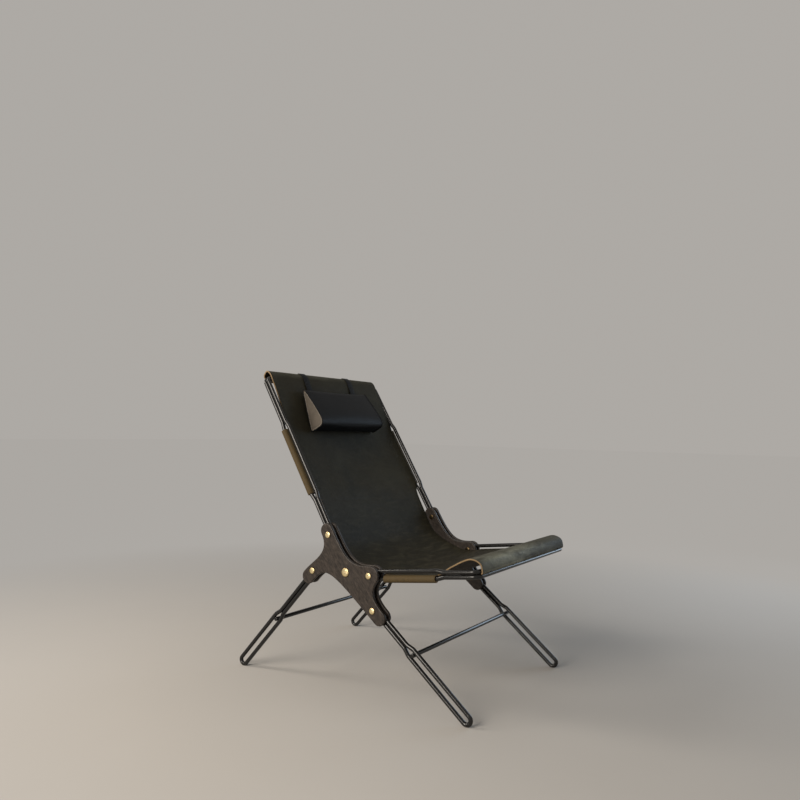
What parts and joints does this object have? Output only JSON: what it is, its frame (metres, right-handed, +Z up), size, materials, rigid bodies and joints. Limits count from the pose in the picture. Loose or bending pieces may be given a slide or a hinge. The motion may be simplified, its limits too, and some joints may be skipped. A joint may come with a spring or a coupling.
{
  "type": "sling lounge chair",
  "caption": "Low lounge chair with a thick leather sling hung in bent-rod back and seat frames, hairpin legs clamped between wood cheek plates, and a sliding strap headrest.",
  "frame": {"origin": "on the floor, under the middle of the chair's bounding box", "axes": "+Z up, -Y the way the sitter faces, +X the sitter's left"},
  "size_m": [0.6096, 0.838, 0.9206],
  "materials": {
    "rod": "satin",
    "plate_wood": "satin",
    "brass": "satin",
    "sling_leather": "satin",
    "headrest_leather": "satin",
    "weight": "satin"
  },
  "bodies": {
    "chair": {"back_frame": "rod", "seat_frame": "rod", "right_front_leg": "rod", "right_rear_leg": "rod", "left_front_leg": "rod", "left_rear_leg": "rod", "front_stretcher": "rod", "rear_stretcher": "rod", "right_outer_plate": "plate_wood", "right_inner_plate": "plate_wood", "left_outer_plate": "plate_wood", "left_inner_plate": "plate_wood", "right_back_bolt": "brass", "right_seat_bolt": "brass", "right_front_leg_bolt": "brass", "right_rear_leg_bolt": "brass", "right_centre_bolt": "brass", "left_back_bolt": "brass", "left_seat_bolt": "brass", "left_front_leg_bolt": "brass", "left_rear_leg_bolt": "brass", "left_centre_bolt": "brass", "right_back_nut": "brass", "right_seat_nut": "brass", "right_front_leg_nut": "brass", "right_rear_leg_nut": "brass", "right_centre_nut": "brass", "left_back_nut": "brass", "left_seat_nut": "brass", "left_front_leg_nut": "brass", "left_rear_leg_nut": "brass", "left_centre_nut": "brass", "right_spacer": "rod", "left_spacer": "rod", "sling": "sling_leather", "sling_front_screw_1": "rod", "sling_front_screw_2": "rod", "sling_front_screw_3": "rod", "sling_front_screw_4": "rod", "sling_top_screw_1": "rod", "sling_top_screw_2": "rod", "sling_top_screw_3": "rod", "sling_top_screw_4": "rod", "right_strap": "headrest_leather", "left_strap": "headrest_leather"},
    "headrest": {"headrest": "headrest_leather"},
    "counterweight": {"counterweight": "weight"}
  },
  "joints": [
    {"name": "headrest_slide", "type": "slide", "parent": "chair", "child": "headrest", "axis": [0, 0.4497, 0.8932], "range_m": [-0.1, 0.02], "deforming": ["right_strap", "left_strap"]},
    {"name": "counterweight_slide", "type": "slide", "parent": "chair", "child": "counterweight", "axis": [0, 0, 1], "range_m": [-0.02, 0.1]}
  ],
  "couplings": [
    {"joint": "counterweight_slide", "follows": "headrest_slide", "ratio": -1}
  ]
}
